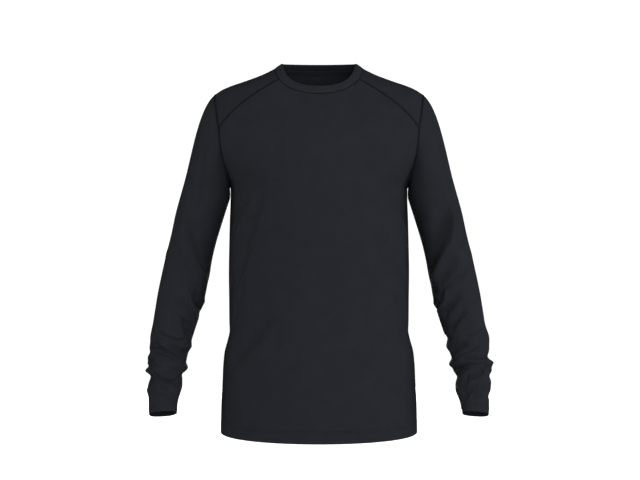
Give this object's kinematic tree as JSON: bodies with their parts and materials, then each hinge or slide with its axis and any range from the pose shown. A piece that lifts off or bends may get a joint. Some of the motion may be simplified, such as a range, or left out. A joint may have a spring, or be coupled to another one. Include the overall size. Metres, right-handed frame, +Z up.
{
  "type": "long-sleeved base layer top",
  "caption": "Long-sleeved crew-neck base layer top in thin knit with shoulder yokes, standing hollow in its worn shape, its sleeves bunched above the cuffs.",
  "frame": {"origin": "midway between the high points of the shoulders at the neck, where the wearer carries the top", "axes": "+Z up the body, +X to the wearer's left, -Y out of the front"},
  "size_m": [0.657, 0.2365, 0.7216],
  "materials": {
    "body_knit": "matt fine knit, charcoal with a faint heather",
    "sleeve_knit": "matt fine knit, charcoal with a faint heather",
    "neck_rib": "matt rib knit, charcoal",
    "neck_tape": "matt woven tape, charcoal"
  },
  "bodies": {
    "root": {"front": "body_knit", "back": "body_knit", "yoke_left": "body_knit", "yoke_right": "body_knit", "sleeve_left": "sleeve_knit", "sleeve_right": "sleeve_knit", "neckband": "neck_rib", "neck_tape": "neck_tape"}
  },
  "joints": []
}
